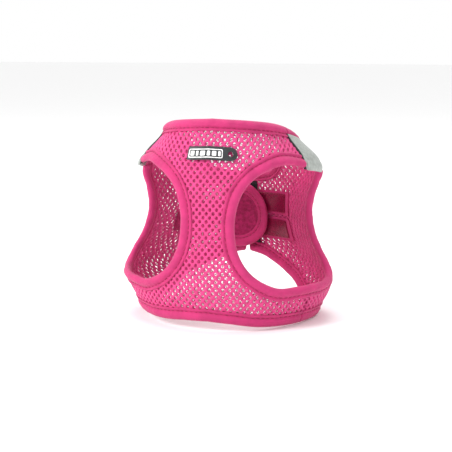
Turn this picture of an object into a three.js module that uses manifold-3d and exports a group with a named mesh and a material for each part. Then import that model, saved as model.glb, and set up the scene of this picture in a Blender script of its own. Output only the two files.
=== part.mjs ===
// A small step-in safety harness vest, in millimetres.
// +Z is up and the chest faces -Y. Seen from the front, "right" is +X, the wearer's own left side.
// Every cloth piece lies on one body surface, described by an angle and a height share.
// The angle is 0 at the chest and 180 at the back; the share is 0 at the hem and 1 at the neck seam.
import * as THREE from "three";
import { mergeVertices } from "three/addons/utils/BufferGeometryUtils.js";
import Module from "manifold-3d";

const wasm = await Module();
wasm.setup();

// ---- Driving dimensions ----
const girthWidth = 134; // across the sides at the widest
const frontDepth = 60; // from the middle to the chest at the girth
const backDepth = 56; // from the middle to the spine at the girth
const neckSeamHeight = 119.4; // of the neck seam at the chest
const heightScale = neckSeamHeight / 119.4; // of the heights on the back, which are for that size
const hemLean = 2; // how much lower the hem hangs on the +X side
const leftSpread = 3.5; // how much further out the -X side stands behind its leg hole
const rightSpread = 4; // how much further out the +X side stands at its shoulder
const neckRise = 0.88; // of a neck binding's width, because it leans inwards

const clearance = 0.3; // between sewn neighbours
const panelThickness = 2.6; // spacer mesh
const bindingWidth = 8;
const lipWidth = 2; // the flat part of a binding, beyond its stitches
const rollWidth = bindingWidth - lipWidth; // the full, rolled part
const rollThickness = 5.2;
const lipThickness = 3.2;
const hemDrop = 2.5; // how far the hem binding hangs below the panel's edge

const seamAngle = 64; // where a wing is sewn to the girth band
const shoulderAngle = 70; // where the shoulder strap is sewn to the chest
const wingTopAngle = 90; // where the shoulder strap meets the wing
const strapThickness = 1.8;

const edgeTapeWidth = 8; // black webbing folded over each wing's back edge
const edgeTapeThickness = 4;
const backGap = 2; // between the two wings
const padThickness = 1.2; // hook and loop fastener
const flapRadius = 23.5; // round end of the closure flap
const flapReach = 18; // how far the flap passes the middle of the back
const flapHeight = 53 * heightScale; // height of the flap's middle
const flapThickness = 2.6;
const velvetThickness = 1.4;
const flapBaseReach = 10.5; // where the flap is sewn on the other wing

const webbingWidth = 15;
const webbingThickness = 1.3;
const buckleHeight = 54 * heightScale; // of the buckle's middle
const buckleWidth = webbingWidth + 6;
const buckleThickness = 6.4;
const buckleReach = 19; // each half, out from the middle
const socketMouth = 6;
const cavityHeight = 4.4;
const cavityWidth = webbingWidth + 2;
const armThickness = 2.6; // a latch arm, along Y
const armWidth = 2.4; // a latch arm, along Z
const tongueWidth = 4;
const tongueThickness = 2;
const ringWire = 2.4;
const ringInnerWidth = webbingWidth + 0.6;
const ringDepth = 12;
const ringReach = 33; // of a D-ring's bar, along the back from the middle

// ---- Small helpers ----
const radians = THREE.MathUtils.degToRad;
const degrees = THREE.MathUtils.radToDeg;
const lerp = THREE.MathUtils.lerp;

// A smooth curve y(x) through the given stations, held level beyond them.
function smooth(stations) {
  const count = stations.length;
  const slopes = stations.slice(1).map(([x, y], i) => (y - stations[i][1]) / (x - stations[i][0]));
  const tangents = stations.map(([x], i) => {
    if (i === 0) return slopes[0];
    if (i === count - 1) return slopes[count - 2];
    const before = x - stations[i - 1][0];
    const after = stations[i + 1][0] - x;
    return (slopes[i - 1] * after + slopes[i] * before) / (before + after);
  });
  return (x) => {
    const held = THREE.MathUtils.clamp(x, stations[0][0], stations[count - 1][0]);
    let i = 0;
    while (i < count - 2 && held > stations[i + 1][0]) i += 1;
    const width = stations[i + 1][0] - stations[i][0];
    const t = (held - stations[i][0]) / width;
    const t2 = t * t;
    const t3 = t2 * t;
    return (
      (2 * t3 - 3 * t2 + 1) * stations[i][1] +
      (t3 - 2 * t2 + t) * width * tangents[i] +
      (3 * t2 - 2 * t3) * stations[i + 1][1] +
      (t3 - t2) * width * tangents[i + 1]
    );
  };
}

// Evenly spaced values from one to another, both included.
function spread(from, to, steps) {
  return Array.from({ length: steps + 1 }, (_, i) => lerp(from, to, i / steps));
}

// ---- The body surface ----
// Heights as shares of the neck seam's height, by angle.
const neckShare = smooth([
  [0, 0.992], [30, 0.98], [60, 0.955], [90, 0.909], [125, 0.812], [155, 0.662], [180, 0.633],
]);
const hemShare = smooth([
  [0, 0.03], [15, 0.022], [28, 0.01], [40, 0.004], [70, 0.003], [108, 0.003], [114, 0.012],
  [124, 0.06], [135, 0.11], [146, 0.143], [158, 0.182], [168, 0.218], [180, 0.242],
]);
// Half widths and depths as shares of those at the girth, by height share.
const sideShare = smooth([
  [0, 0.845], [0.05, 0.9], [0.1, 0.95], [0.2, 1], [0.3, 0.945], [0.38, 0.87], [0.5, 0.795],
  [0.6, 0.775], [0.7, 0.8], [0.8, 0.85], [0.9, 0.785], [1, 0.63], [1.07, 0.575],
]);
const frontShare = smooth([
  [0, 0.933], [0.15, 0.992], [0.3, 1], [0.5, 0.975], [0.7, 0.933], [0.85, 0.867], [1, 0.75], [1.07, 0.715],
]);
const backShare = smooth([
  [0, 0.991], [0.15, 1], [0.3, 0.996], [0.5, 0.973], [0.7, 0.938], [0.85, 0.902], [1, 0.875],
]);
// The power of the oval section, by angle: 2 is an ellipse.
const roundness = smooth([[90, 2], [120, 1.7], [150, 1.9], [180, 2.3]]);
// Where each side stands further out than the oval, by angle and by height share.
const leftByAngle = smooth([[50, 0], [78, 0.7], [98, 1], [120, 0.5], [138, 0]]);
const leftByHeight = smooth([[0.1, 0], [0.3, 0.7], [0.5, 1], [0.7, 0.9], [0.85, 0.2], [1, 0]]);
const rightByAngle = smooth([[60, 0], [82, 1], [112, 1], [135, 0]]);
const rightByHeight = smooth([[0.78, 0], [0.9, 1], [1, 0.85], [1.07, 0]]);

// An angle brought into -180..180.
const wrapped = (angle) => THREE.MathUtils.euclideanModulo(angle + 180, 360) - 180;

function hemZ(angle) {
  return neckSeamHeight * hemShare(Math.abs(wrapped(angle))) - hemLean * Math.sin(radians(angle));
}

function panelHeight(angle) {
  return neckSeamHeight * neckShare(Math.abs(wrapped(angle))) - hemZ(angle);
}

function radius(angle, share) {
  const sine = Math.abs(Math.sin(radians(angle)));
  const cosine = Math.cos(radians(angle));
  const side = (girthWidth / 2) * sideShare(share);
  const depth = cosine > 0 ? frontDepth * frontShare(share) : backDepth * backShare(share);
  const turn = wrapped(angle);
  const power = roundness(Math.abs(turn));
  const oval = ((sine / side) ** power + (Math.abs(cosine) / depth) ** power) ** (-1 / power);
  if (turn < 0) return oval + leftSpread * leftByAngle(-turn) * leftByHeight(share);
  return oval + rightSpread * rightByAngle(turn) * rightByHeight(share);
}

// The point at an angle and height share, a given distance outside the middle of the cloth.
function onBody(angle, share, outside = 0) {
  const reach = radius(angle, share) + outside;
  const z = hemZ(angle) + panelHeight(angle) * share;
  return new THREE.Vector3(reach * Math.sin(radians(angle)), -reach * Math.cos(radians(angle)), z);
}

// An edge moved sideways in the cloth; a positive distance is to the right of its direction.
function moved(edge, t, distance) {
  const step = 1e-3;
  const [angle, share] = edge(t);
  const [angle0, share0] = edge(t - step);
  const [angle1, share1] = edge(t + step);
  const perDegree = radians(1) * radius(angle, share);
  const perShare = panelHeight(angle);
  const run = new THREE.Vector2((angle1 - angle0) * perDegree, (share1 - share0) * perShare).normalize();
  return [angle + (distance * run.y) / perDegree, share - (distance * run.x) / perShare];
}

// The angle that lies a given way along the back from its middle, positive towards +X.
function backAngle(way) {
  return 180 - degrees(way / (backDepth * backShare(0.5)));
}

// The height share of a height above the floor of the body frame.
function shareAt(angle, z) {
  return (z - hemZ(angle)) / panelHeight(angle);
}

// ---- Solid makers ----
// A closed slab: point(t, s, side) gives its two faces, with side +1 for one and -1 for the other.
function slab(point, ts, ss) {
  const positions = [];
  const triangles = [];
  const rows = ts.length;
  const columns = ss.length;
  for (const side of [1, -1]) {
    for (const t of ts) {
      for (const s of ss) positions.push(...point(t, s, side).toArray());
    }
  }
  const at = (side, row, column) => (side * rows + row) * columns + column;
  const quad = (a, b, c, d) => triangles.push(a, b, c, a, c, d);
  for (let row = 0; row < rows - 1; row += 1) {
    for (let column = 0; column < columns - 1; column += 1) {
      quad(at(0, row, column), at(0, row + 1, column), at(0, row + 1, column + 1), at(0, row, column + 1));
      quad(at(1, row, column), at(1, row, column + 1), at(1, row + 1, column + 1), at(1, row + 1, column));
    }
    quad(at(0, row, 0), at(1, row, 0), at(1, row + 1, 0), at(0, row + 1, 0));
    const last = columns - 1;
    quad(at(0, row, last), at(0, row + 1, last), at(1, row + 1, last), at(1, row, last));
  }
  for (let column = 0; column < columns - 1; column += 1) {
    quad(at(0, 0, column), at(0, 0, column + 1), at(1, 0, column + 1), at(1, 0, column));
    const last = rows - 1;
    quad(at(0, last, column), at(1, last, column), at(1, last, column + 1), at(0, last, column + 1));
  }
  return facingOut(positions, triangles);
}

// A closed plate inside a ring of [angle, share] points, between two distances from the cloth's middle.
function plate(ring, centre, inside, outside) {
  const positions = [];
  const triangles = [];
  const count = ring.length;
  for (const distance of [outside, inside]) {
    positions.push(...onBody(...centre, distance).toArray());
    for (const [angle, share] of ring) positions.push(...onBody(angle, share, distance).toArray());
  }
  const lower = count + 1;
  for (let i = 0; i < count; i += 1) {
    const a = 1 + i;
    const b = 1 + ((i + 1) % count);
    triangles.push(0, a, b, lower, lower + b, lower + a);
    triangles.push(a, lower + a, lower + b, a, lower + b, b);
  }
  return facingOut(positions, triangles);
}

// A closed loop of round wire along a plane loop of points, given by its two directions in space.
function wireLoop(points, origin, along, up, wireRadius) {
  const sides = 8;
  const normal = new THREE.Vector3().crossVectors(along, up).normalize();
  const positions = [];
  const triangles = [];
  const count = points.length;
  points.forEach((point, i) => {
    const next = points[(i + 1) % count];
    const previous = points[(i + count - 1) % count];
    const run = next.clone().sub(previous).normalize();
    for (let k = 0; k < sides; k += 1) {
      const turn = (2 * Math.PI * k) / sides;
      const u = point.x + wireRadius * Math.cos(turn) * run.y;
      const v = point.y - wireRadius * Math.cos(turn) * run.x;
      const place = origin.clone().addScaledVector(along, u).addScaledVector(up, v);
      positions.push(...place.addScaledVector(normal, wireRadius * Math.sin(turn)).toArray());
    }
  });
  for (let i = 0; i < count; i += 1) {
    for (let k = 0; k < sides; k += 1) {
      const a = i * sides + k;
      const b = i * sides + ((k + 1) % sides);
      const c = ((i + 1) % count) * sides + k;
      const d = ((i + 1) % count) * sides + ((k + 1) % sides);
      triangles.push(a, b, d, a, d, c);
    }
  }
  return facingOut(positions, triangles);
}

// A geometry whose faces point out, from positions and triangles that all wind one way.
function facingOut(positions, triangles) {
  const corner = (i) => new THREE.Vector3().fromArray(positions, 3 * i);
  let volume = 0;
  for (let i = 0; i < triangles.length; i += 3) {
    const [a, b, c] = triangles.slice(i, i + 3).map(corner);
    volume += a.dot(b.cross(c));
  }
  if (volume < 0) {
    for (let i = 0; i < triangles.length; i += 3) {
      [triangles[i], triangles[i + 1]] = [triangles[i + 1], triangles[i]];
    }
  }
  const geometry = new THREE.BufferGeometry();
  geometry.setAttribute("position", new THREE.Float32BufferAttribute(positions, 3));
  geometry.setIndex(triangles);
  return geometry;
}

function toSolid(geometry) {
  const bare = geometry.clone();
  bare.deleteAttribute("normal");
  bare.deleteAttribute("uv");
  const merged = mergeVertices(bare, 1e-4);
  return new wasm.Manifold(
    new wasm.Mesh({
      numProp: 3,
      vertProperties: new Float32Array(merged.attributes.position.array),
      triVerts: new Uint32Array(merged.index.array),
    }),
  );
}

function toGeometry(solid) {
  const mesh = solid.getMesh();
  const geometry = new THREE.BufferGeometry();
  geometry.setAttribute("position", new THREE.BufferAttribute(new Float32Array(mesh.vertProperties), 3));
  geometry.setIndex(new THREE.BufferAttribute(new Uint32Array(mesh.triVerts), 1));
  return geometry;
}

function cut(geometry, ...tools) {
  return toGeometry(tools.reduce((solid, tool) => solid.subtract(toSolid(tool)), toSolid(geometry)));
}

function join(geometry, ...others) {
  return toGeometry(others.reduce((solid, other) => solid.add(toSolid(other)), toSolid(geometry)));
}

// A box between two corners.
function block(low, high) {
  const size = high.map((value, i) => value - low[i]);
  const middle = high.map((value, i) => (value + low[i]) / 2);
  return new THREE.BoxGeometry(...size).translate(...middle);
}

// A block with round corners seen along Y.
function roundedBlock(low, high, corner) {
  const shape = new THREE.Shape();
  const arc = (x, z, from) => shape.absarc(x, z, corner, from, from + Math.PI / 2, false);
  arc(high[0] - corner, high[2] - corner, 0);
  arc(low[0] + corner, high[2] - corner, Math.PI / 2);
  arc(low[0] + corner, low[2] + corner, Math.PI);
  arc(high[0] - corner, low[2] + corner, 1.5 * Math.PI);
  const depth = high[1] - low[1];
  const geometry = new THREE.ExtrudeGeometry(shape, { depth, bevelEnabled: false, curveSegments: 4 });
  return geometry.rotateX(Math.PI / 2).translate(0, high[1], 0);
}

// ---- Materials ----
const cloth = (color, roughness) => new THREE.MeshStandardMaterial({ color, roughness, metalness: 0 });
const looks = {
  mesh: () => cloth(0xe8508f, 0.9),
  binding: () => cloth(0xdf4287, 0.75),
  velvet: () => cloth(0xa01e55, 1),
  hooks: () => cloth(0x7a0c3c, 0.6),
  webbing: () => cloth(0x17171a, 0.8),
  reflective: () => cloth(0x8c918d, 0.4),
  rubber: () => cloth(0x1f2326, 0.55),
  print: () => cloth(0xf2f2f0, 0.6),
  plastic: () => cloth(0x141416, 0.4),
  steel: () => new THREE.MeshStandardMaterial({ color: 0xb8bbbd, roughness: 0.25, metalness: 1 }),
};

const vest = new THREE.Group();

function add(name, geometry, look) {
  const mesh = new THREE.Mesh(geometry, look());
  mesh.name = name;
  vest.add(mesh);
}

// ---- Edges ----
// The leg hole, from the shoulder seam forward, down, back under the leg and up to the strap again.
const legStations = [
  [70, 0.835], [52, 0.842], [36, 0.795], [25, 0.72], [19, 0.62], [17, 0.49],
  [19.5, 0.36], [27.5, 0.26], [41, 0.2], [54, 0.2], [64, 0.205], [80, 0.215],
  [89, 0.27], [92.5, 0.39], [94, 0.52], [94, 0.66], [92.5, 0.77], [90, 0.835],
];
const seamStation = 10; // where the leg hole crosses the girth seam
const lastStation = legStations.length - 1;
const endInset = 0.002; // keeps the ends of the leg hole inside its stations
const legAngle = smooth(legStations.map(([angle], i) => [i, angle]));
const legShare = smooth(legStations.map(([, share], i) => [i, share]));
const legEdge = (t) => [legAngle(t), legShare(t)];

// A binding follows an edge; its roll is at the edge and its lip lies on the panel.
const bindingStations = [0, 1.2, rollWidth, bindingWidth];
const bindingHalf = smooth([
  [0, rollThickness / 4], [1.2, rollThickness / 2],
  [rollWidth, rollThickness / 2], [bindingWidth, lipThickness / 2],
]);

function legBinding(side, from, to, steps) {
  const point = (t, s, face) => {
    const [angle, share] = moved(legEdge, THREE.MathUtils.clamp(t, endInset, lastStation - endInset), s);
    return onBody(side * angle, share, face * bindingHalf(s));
  };
  return slab(point, spread(from, to, steps), bindingStations);
}

function neckBinding(from, to, steps) {
  const point = (angle, s, face) => {
    const share = 1 + (neckRise * (bindingWidth - s)) / panelHeight(angle);
    return onBody(angle, share, face * bindingHalf(s));
  };
  return slab(point, spread(from, to, steps), bindingStations);
}

function hemBinding(from, to, steps) {
  const point = (angle, s, face) => onBody(angle, (s - hemDrop) / panelHeight(angle), face * bindingHalf(s));
  return slab(point, spread(from, to, steps), bindingStations);
}

// A sewing gap, as an angle.
const sewingGap = degrees(clearance / (girthWidth / 2));

// ---- Panels ----
const panelLow = (angle) => (bindingWidth - hemDrop + clearance) / panelHeight(angle);
const panelHigh = (angle) => 1 - clearance / panelHeight(angle);

// The space of a leg hole and its binding, cut out of the panels.
function legSpace(side) {
  const reach = bindingWidth + 2 * clearance;
  const along = spread(endInset, lastStation - endInset, 60);
  const ring = along.map((t) => moved(legEdge, t, reach)).map(([angle, share]) => [side * angle, share]);
  const holeMiddle = [side * 57, 0.52];
  return plate(ring, holeMiddle, -12, 12);
}

// A panel between two limits that depend on the height.
function panel(start, end, columns, rows) {
  const point = (row, column, face) => {
    const angle = lerp(start(row), end(row), column);
    const share = lerp(panelLow(angle), panelHigh(angle), row);
    return onBody(angle, share, (face * panelThickness) / 2);
  };
  return slab(point, spread(0, 1, rows), spread(0, 1, columns));
}

// A panel's side limit goes from the girth seam to its top angle over the middle of the leg hole.
function sideLimit(row, topAngle) {
  const inHole = THREE.MathUtils.clamp(row, 0.3, 0.7);
  return THREE.MathUtils.mapLinear(inHole, 0.3, 0.7, seamAngle, topAngle);
}
const chestLimit = (row) => sideLimit(row, shoulderAngle) - sewingGap;
const wingLimit = (row) => sideLimit(row, wingTopAngle) + sewingGap;
const backEdgeAngle = (way) => backAngle(way + backGap / 2);

const chest = panel((row) => -chestLimit(row), chestLimit, 20, 12);
add("chest_panel", cut(chest, legSpace(1), legSpace(-1)), looks.mesh);
const neckEnd = shoulderAngle - sewingGap;
const hemEnd = seamAngle - sewingGap;
add("neck_binding_front", neckBinding(-neckEnd, neckEnd, 16), looks.binding);
add("hem_binding_front", hemBinding(-hemEnd, hemEnd, 16), looks.binding);

const sides = [["right", 1], ["left", -1]];
const stationGap = 0.03; // half the gap between two leg bindings, in stations
const strapStation = 0.04; // where the front leg binding starts, beside the shoulder strap

for (const [name, side] of sides) {
  const limit = backEdgeAngle(edgeTapeWidth + clearance);
  const wing = panel((row) => side * wingLimit(row), () => side * limit, 16, 10);
  const legFront = legBinding(side, strapStation, seamStation - stationGap, 26);
  const neck = neckBinding(side * (wingTopAngle + sewingGap), side * limit, 12);
  add(`${name}_leg_binding_front`, legFront, looks.binding);
  add(`${name}_leg_binding_rear`, legBinding(side, seamStation + stationGap, lastStation, 18), looks.binding);
  add(`${name}_wing_panel`, cut(wing, legSpace(side)), looks.mesh);
  add(`${name}_neck_binding`, neck, looks.binding);
  add(`${name}_hem_binding`, hemBinding(side * (seamAngle + sewingGap), side * limit, 16), looks.binding);
}

// ---- Shoulder straps ----
const strapLow = legStations[lastStation][1] + 0.006; // the strap's lower edge, as a height share
const strapInset = 1; // from the top of the neck binding to the strap's top

for (const [name, side] of sides) {
  const from = shoulderAngle + 2 * sewingGap;
  const to = wingTopAngle - 2 * sewingGap;
  const point = (angle, s, face) => {
    const high = 1 + (neckRise * bindingWidth - strapInset) / panelHeight(angle);
    return onBody(angle, lerp(strapLow, high, s), (face * strapThickness) / 2);
  };
  const strap = slab(point, spread(side * from, side * to, 5), spread(0, 1, 5));
  add(`${name}_shoulder_strap`, strap, looks.reflective);
}

// ---- Rubber label ----
const labelLeft = -14.2; // angles of its two ends
const labelRight = 19.2;
const labelLow = 0.851;
const labelHigh = 0.921;
const labelInside = panelThickness / 2 + 2 * clearance;
const labelThickness = 1.4;
const labelHole = 3; // across the hole in the tongue
const printThickness = 0.5;
const printSide = 1.2; // from the label's left end to the print, in degrees
const printSpan = 22.8; // in degrees
const printEdge = 0.008; // from the label's long edges to the print, in height shares

function labelPoint(across, up) {
  return [lerp(labelLeft, labelRight, across), lerp(labelLow, labelHigh, up)];
}

{
  const roundShare = 0.1; // of the label's length, taken by its round end
  const halfHeight = (across) => {
    const into = Math.max(0, (across - 1 + roundShare) / roundShare);
    return 0.5 * Math.sqrt(1 - 0.98 * into * into);
  };
  const point = (across, s, face) => {
    const half = halfHeight(across);
    const outside = labelInside + (face > 0 ? labelThickness : 0);
    return onBody(...labelPoint(across, lerp(0.5 - half, 0.5 + half, s)), outside);
  };
  const ends = [0.93, 0.955, 0.975, 0.99, 1];
  const body = slab(point, [...spread(0, 1 - roundShare, 8), ...ends], [0, 0.5, 1]);
  const middle = onBody(...labelPoint(1 - roundShare, 0.5), labelInside);
  const hole = new THREE.CylinderGeometry(labelHole / 2, labelHole / 2, 6 * labelThickness, 16);
  hole.translate(middle.x, middle.y, middle.z);
  add("label_patch", cut(body, hole), looks.rubber);

  const printInside = labelInside + labelThickness + clearance;
  const printPoint = (t, s, face) => {
    const angle = labelLeft + printSide + printSpan * t;
    const share = lerp(labelLow + printEdge, labelHigh - printEdge, s);
    return onBody(angle, share, printInside + (face > 0 ? printThickness : 0));
  };
  add("label_print", slab(printPoint, spread(0, 1, 5), [0, 1]), looks.print);
}

// ---- Back closure ----
// A patch on the wing between two ways along the back and two heights.
function backPatch(way0, way1, low, high, inside, outside, steps) {
  const point = (way, s, face) => {
    const angle = backAngle(way);
    return onBody(angle, shareAt(angle, lerp(low, high, s)), face > 0 ? outside : inside);
  };
  return slab(point, spread(way0, way1, steps), [0, 0.5, 1]);
}

for (const [name, side] of sides) {
  const point = (s, row, face) => {
    const angle = side * backEdgeAngle(lerp(0, edgeTapeWidth, s));
    const low = -hemDrop / panelHeight(angle);
    const high = 1 + (neckRise * bindingWidth) / panelHeight(angle);
    return onBody(angle, lerp(low, high, row), (face * edgeTapeThickness) / 2);
  };
  add(`${name}_back_edge_tape`, slab(point, [0, 0.5, 1], spread(0, 1, 8)), looks.webbing);
}

const padOutside = -(panelThickness / 2 + 1.5 * clearance);
const padInside = padOutside - padThickness;
const hookNear = edgeTapeWidth + backGap / 2 + 2 * clearance; // from the middle of the back
const hookFar = 34;
function pad(way0, way1, low, high) {
  return backPatch(way0, way1, low * heightScale, high * heightScale, padInside, padOutside, 5);
}
add("upper_hook_pad", pad(hookNear, hookFar, 55.5, 68.5), looks.hooks);
add("lower_hook_pad", pad(hookNear, hookFar, 37.5, 50), looks.hooks);
add("loop_patch", pad(-56, -24, 42.5, 56), looks.velvet);

{
  const centreWay = flapReach - flapRadius;
  const layer = padInside - clearance - flapThickness / 2 - 0.4;
  const outline = (inset) => {
    const round = flapRadius - inset;
    const points = spread(90, -90, 12).map((turn) => [
      centreWay + round * Math.cos(radians(turn)),
      flapHeight + round * Math.sin(radians(turn)),
    ]);
    return [[-flapBaseReach, flapHeight + round], ...points, [-flapBaseReach, flapHeight - round]];
  };
  const flapPoint = ([way, z]) => {
    const angle = backAngle(way);
    return [angle, shareAt(angle, z)];
  };
  const outer = outline(0).map(flapPoint);
  const inner = outline(bindingWidth).map(flapPoint);
  const rim = (i, s, face) => {
    const angle = lerp(outer[i][0], inner[i][0], s);
    const share = lerp(outer[i][1], inner[i][1], s);
    return onBody(angle, share, layer + (face * flapThickness) / 2);
  };
  add("flap_binding", slab(rim, spread(0, outer.length - 1, outer.length - 1), [0, 0.5, 1]), looks.binding);

  const ring = outline(bindingWidth + clearance).map(flapPoint);
  const middle = flapPoint([centreWay + 2, flapHeight]);
  const velvet = plate(ring, middle, layer - velvetThickness / 2, layer + velvetThickness / 2);
  add("closure_flap", velvet, looks.velvet);
}

// ---- Buckle ----
const buckleInner = backDepth + edgeTapeThickness / 2 + 1.2; // Y of its inner face, clear of the spine
const buckleMiddle = buckleInner + buckleThickness / 2;
const buckleOuter = buckleInner + buckleThickness;
const armRoot = socketMouth + 0.9;
const armTip = -6;
const armOut = 6.4; // Z of an arm's middle, from the buckle's middle
const barbReach = buckleWidth / 2 - 0.3;
const tongueTip = -5;

// A box about the buckle's middle: x limits, half thickness along Y, z limits from the middle.
function buckleBox(x0, x1, halfY, z0, z1) {
  return block([x0, buckleMiddle - halfY, buckleHeight + z0], [x1, buckleMiddle + halfY, buckleHeight + z1]);
}

function webSlot(x0, x1) {
  return buckleBox(x0, x1, buckleThickness, -webbingWidth / 2 - 0.5, webbingWidth / 2 + 0.5);
}

{
  const half = buckleWidth / 2;
  const socket = roundedBlock(
    [-buckleReach, buckleInner, buckleHeight - half],
    [socketMouth, buckleOuter, buckleHeight + half],
    2.5,
  );
  const cavity = buckleBox(armTip - 3, socketMouth + 1, cavityHeight / 2, -cavityWidth / 2, cavityWidth / 2);
  const windows = [1, -1].map((way) =>
    buckleBox(armTip - 1.5, 0.5, cavityHeight / 2, Math.min(way * 7, way * 12), Math.max(way * 7, way * 12)),
  );
  const slot = webSlot(-buckleReach + 2.2, -buckleReach + 5.2);
  add("buckle_socket", cut(socket, cavity, ...windows, slot), looks.plastic);

  const base = roundedBlock(
    [socketMouth + 0.6, buckleInner, buckleHeight - half],
    [buckleReach, buckleOuter, buckleHeight + half],
    2.5,
  );
  const tongueHalf = tongueWidth / 2;
  const tongue = buckleBox(tongueTip, socketMouth + 2, tongueThickness / 2, -tongueHalf, tongueHalf);
  // The pocket in the base leaves room for the arms' roots.
  const pockets = [1, -1].map((way) => {
    const near = way * (armOut - 2.2);
    const far = way * (armOut + 2.2);
    return buckleBox(socketMouth, armRoot + 2.3, 1.6, Math.min(near, far), Math.max(near, far));
  });
  const plug = cut(join(base, tongue), ...pockets, webSlot(buckleReach - 5.2, buckleReach - 2.2));
  add("buckle_plug", plug, looks.plastic);

  for (const [name, way] of [["upper", 1], ["lower", -1]]) {
    const shape = new THREE.Shape();
    const low = armOut - armWidth / 2;
    const high = armOut + armWidth / 2;
    shape.moveTo(armRoot + 2, low);
    shape.lineTo(armRoot + 2, high);
    shape.lineTo(-0.4, high);
    shape.lineTo(-0.4, barbReach);
    shape.lineTo(-1.8, barbReach);
    shape.lineTo(armTip, high);
    shape.lineTo(armTip, low);
    shape.closePath();
    const arm = new THREE.ExtrudeGeometry(shape, { depth: armThickness, bevelEnabled: false });
    arm.rotateX(Math.PI / 2).translate(0, buckleMiddle + armThickness / 2, 0);
    if (way < 0) arm.rotateX(Math.PI).translate(0, 2 * buckleMiddle, 0);
    arm.translate(0, 0, buckleHeight);
    add(`${name}_latch_arm`, arm, looks.plastic);
  }
}

// ---- Buckle straps, ring keepers and D-rings ----
const webbingMiddle = panelThickness / 2 + clearance + webbingThickness / 2; // outside the cloth's middle
const ringOutside = webbingMiddle + webbingThickness / 2 + 0.8 + ringWire / 2;
const keeperWidth = ringInnerWidth - 2.6;
const keeperThickness = 0.9;

for (const [name, side] of sides) {
  // The strap lies on the wing and lifts off it to reach the end of the buckle.
  const reach = buckleReach + 1.5 * clearance;
  const startTurn = degrees(Math.atan(reach / buckleMiddle));
  const startLift = Math.hypot(reach, buckleMiddle) - radius(180 - startTurn, 0.5);
  const rise = smooth([[0, startLift - webbingMiddle], [4, 3.2], [8, 0], [12, 0]]);
  const lift = (turn) => webbingMiddle + Math.max(0, rise(turn - startTurn));
  const strap = (turn, s, face) => {
    const angle = side * (180 - turn);
    const z = buckleHeight + lerp(-webbingWidth / 2, webbingWidth / 2, s);
    const followed = THREE.MathUtils.smoothstep(turn, startTurn, startTurn + 8);
    const leaning = onBody(angle, shareAt(angle, z), lift(turn) + (face * webbingThickness) / 2);
    const upright = onBody(angle, shareAt(angle, buckleHeight), lift(turn) + (face * webbingThickness) / 2);
    return upright.setZ(z).lerp(leaning, followed);
  };
  const turns = [0, 2, 4, 6, 8, 12, 18, 24, 30].map((turn) => startTurn + turn);
  add(`${name}_buckle_strap`, slab(strap, turns, [0, 0.5, 1]), looks.webbing);

  const arch = smooth([
    [-6, webbingMiddle + 1.4], [-3.8, webbingMiddle + 1.4], [-2.1, ringOutside + 0.7],
    [0, ringOutside + 2.1], [2.1, ringOutside + 0.7], [3.8, webbingMiddle + 1.4], [6, webbingMiddle + 1.4],
  ]);
  const keeper = (way, s, face) => {
    const angle = side * backAngle(ringReach + way);
    const z = buckleHeight + lerp(-keeperWidth / 2, keeperWidth / 2, s);
    return onBody(angle, shareAt(angle, z), arch(way) + (face * keeperThickness) / 2);
  };
  const keeperWays = [-6, -3.8, -2.9, -2.1, -1.1, 0, 1.1, 2.1, 2.9, 3.8, 6];
  add(`${name}_ring_keeper`, slab(keeper, keeperWays, [0, 0.5, 1]), looks.webbing);

  const ringAngle = side * backAngle(ringReach);
  const ringShare = shareAt(ringAngle, buckleHeight);
  const origin = onBody(ringAngle, ringShare, ringOutside);
  const above = onBody(ringAngle, shareAt(ringAngle, buckleHeight + ringInnerWidth / 2), ringOutside);
  const below = onBody(ringAngle, shareAt(ringAngle, buckleHeight - ringInnerWidth / 2), ringOutside);
  const up = above.sub(below).normalize();
  const further = onBody(side * backAngle(ringReach + 1), ringShare, ringOutside);
  const along = further.sub(origin).projectOnPlane(up).normalize();
  const half = (ringInnerWidth + ringWire) / 2;
  const bend = 2; // radius of the corners at the bar
  const bowStart = 4; // from the bar to where the bow begins
  const loop = [];
  const turnPoint = (x, y, reachX, reachY, turn) => {
    loop.push(new THREE.Vector2(x + reachX * Math.cos(radians(turn)), y + reachY * Math.sin(radians(turn))));
  };
  for (const turn of spread(180, 90, 3)) turnPoint(bend, half - bend, bend, bend, turn);
  for (const turn of spread(90, -90, 10)) turnPoint(bowStart, 0, ringDepth - bowStart, half, turn);
  for (const turn of spread(270, 180, 3)) turnPoint(bend, bend - half, bend, bend, turn);
  add(`${name}_d_ring`, wireLoop(loop, origin, along, up, ringWire / 2), looks.steel);
}

// ---- The part's own frame: the middle of its box, on the floor ----
const box = new THREE.Box3().setFromObject(vest, true);
const middle = box.getCenter(new THREE.Vector3());
vest.position.set(-middle.x, -middle.y, -box.min.z);

export default vest;
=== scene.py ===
"""The looks of a pink step-in safety harness vest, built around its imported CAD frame.

Every soft piece lies on the body surface that the CAD uses: an angle (0 at the chest, 180 at the back,
positive towards +X) and a height share (0 at the hem, 1 at the neck seam). Sizes are in millimetres and
become metres in the row frame in on_body().
"""

import math

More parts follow.
